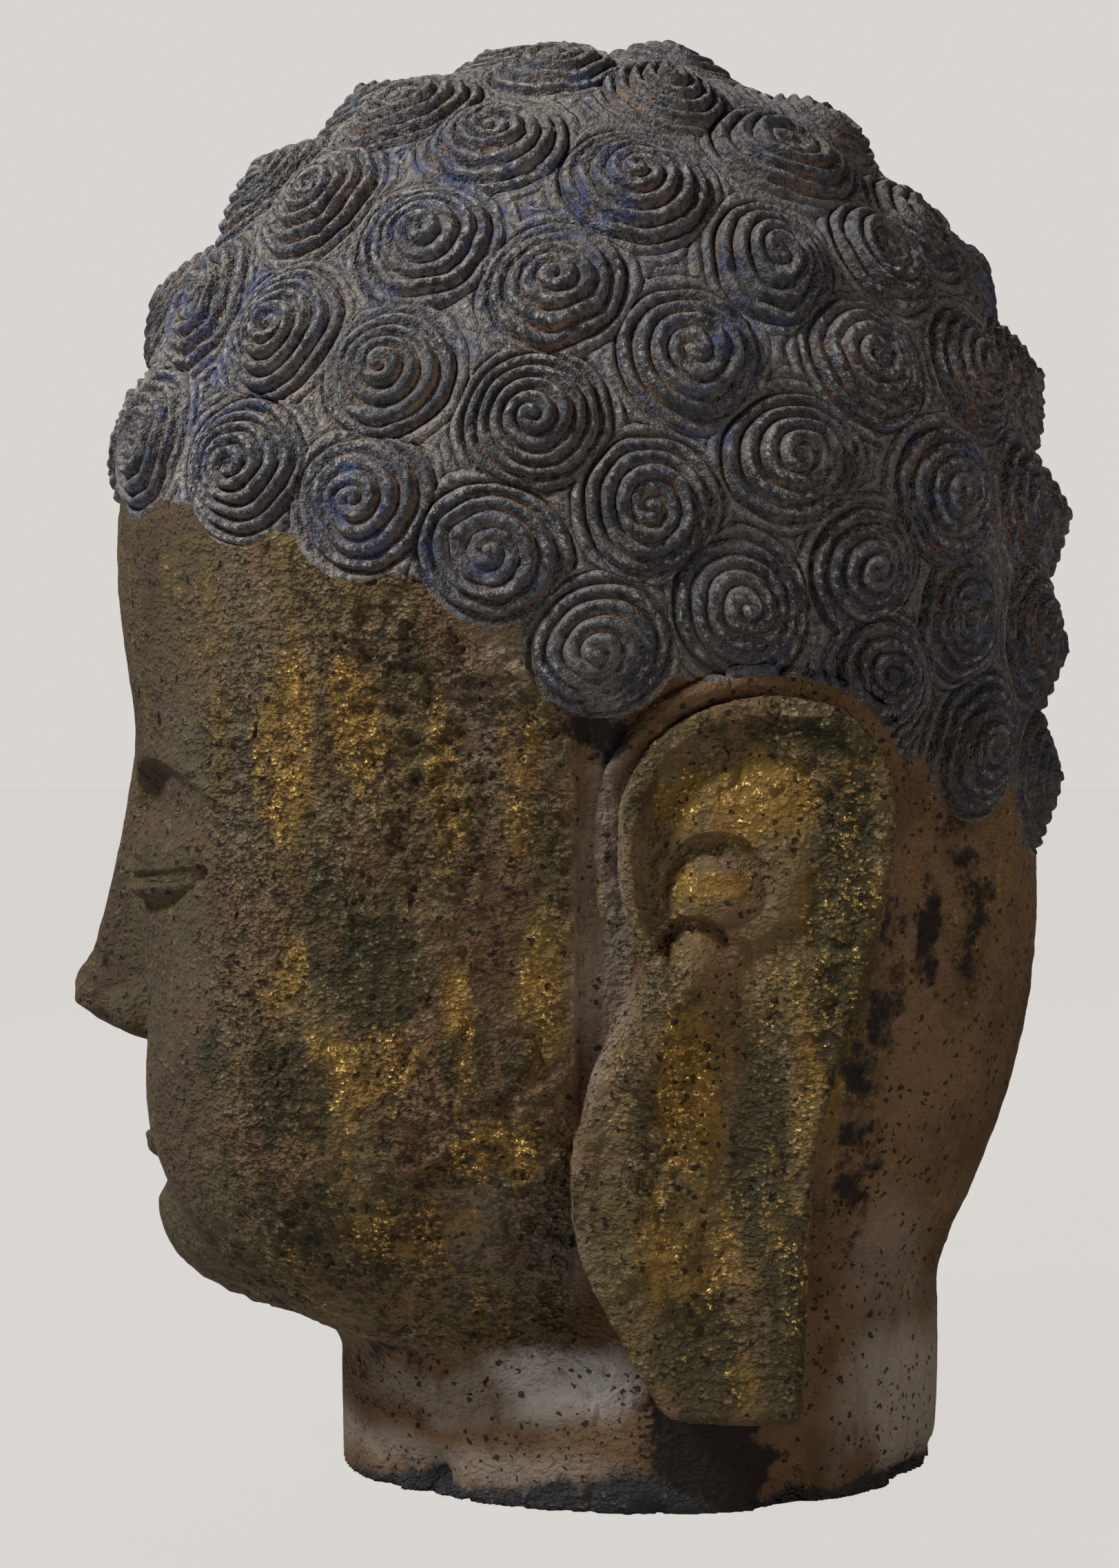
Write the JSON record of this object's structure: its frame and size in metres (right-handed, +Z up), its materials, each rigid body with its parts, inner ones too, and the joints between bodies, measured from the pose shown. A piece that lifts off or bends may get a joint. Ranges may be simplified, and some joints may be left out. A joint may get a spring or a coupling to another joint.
{
  "type": "stone buddha head",
  "caption": "Head of a buddha carved from one block of stone, with rows of coiled curls, long ears and a neck cut flat to stand on.",
  "frame": {"origin": "centre of the bounding box's footprint, on the plane of the cut underside of the neck", "axes": "+Z up through the crown, -Y the way the face looks, +X towards the head's own left ear"},
  "size_m": [0.321, 0.3671, 0.52],
  "materials": {
    "stone": "pitted, weathered, with worn gilding on the skin and blue-black pigment on the hair"
  },
  "bodies": {
    "root": {"stone_head": "stone"}
  },
  "joints": []
}
